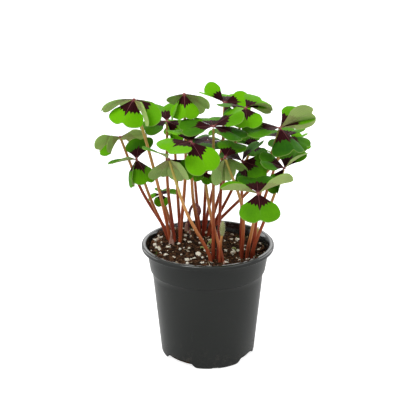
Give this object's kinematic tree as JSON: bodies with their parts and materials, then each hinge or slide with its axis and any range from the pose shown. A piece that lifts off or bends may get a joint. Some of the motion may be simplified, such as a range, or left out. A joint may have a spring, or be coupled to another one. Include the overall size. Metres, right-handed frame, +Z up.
{
  "type": "potted iron cross oxalis",
  "caption": "Clover-like plant with heart-shaped leaflets marked in maroon on long bare stalks, in a round plastic nursery pot.",
  "frame": {"origin": "centre of the pot's flat underside, on the surface it stands on", "axes": "+Z up along the pot's axis, -Y towards the plant's front"},
  "size_m": [0.1862, 0.1578, 0.2344],
  "materials": {
    "pot": "satin black moulded plastic",
    "potting_mix": "rough, damp and crumbly",
    "bulb": "matte",
    "petiole": "satin",
    "leaf_blade": "soft satin",
    "young_growth": "downy"
  },
  "bodies": {
    "root": {"pot": "pot", "potting_mix": "potting_mix", "bulb_left": "bulb", "bulb_middle": "bulb", "bulb_front": "bulb", "bulb_right": "bulb", "petiole_01": "petiole", "petiole_02": "petiole", "petiole_03": "petiole", "petiole_04": "petiole", "petiole_05": "petiole", "petiole_06": "petiole", "petiole_07": "petiole", "petiole_08": "petiole", "petiole_09": "petiole", "petiole_10": "petiole", "petiole_11": "petiole", "petiole_12": "petiole", "petiole_13": "petiole", "petiole_14": "petiole", "petiole_15": "petiole", "petiole_16": "petiole", "petiole_17": "petiole", "petiole_18": "petiole", "petiole_19": "petiole", "petiole_20": "petiole", "petiole_21": "petiole", "petiole_22": "petiole", "petiole_23": "petiole", "petiole_24": "petiole", "leaf_01": "leaf_blade", "leaf_02": "leaf_blade", "leaf_03": "leaf_blade", "leaf_04": "leaf_blade", "leaf_05": "leaf_blade", "leaf_06": "leaf_blade", "leaf_07": "leaf_blade", "leaf_08": "leaf_blade", "leaf_09": "leaf_blade", "leaf_10": "leaf_blade", "leaf_11": "leaf_blade", "leaf_12": "leaf_blade", "leaf_13": "leaf_blade", "leaf_14": "leaf_blade", "leaf_15": "leaf_blade", "leaf_16": "leaf_blade", "leaf_17": "leaf_blade", "leaf_18": "leaf_blade", "leaf_19": "leaf_blade", "leaf_20": "leaf_blade", "leaf_21": "leaf_blade", "leaf_22": "leaf_blade", "leaf_23": "leaf_blade", "leaf_24": "leaf_blade", "furled_leaf": "young_growth", "hooked_shoot": "young_growth", "cut_stub": "young_growth"}
  },
  "joints": []
}
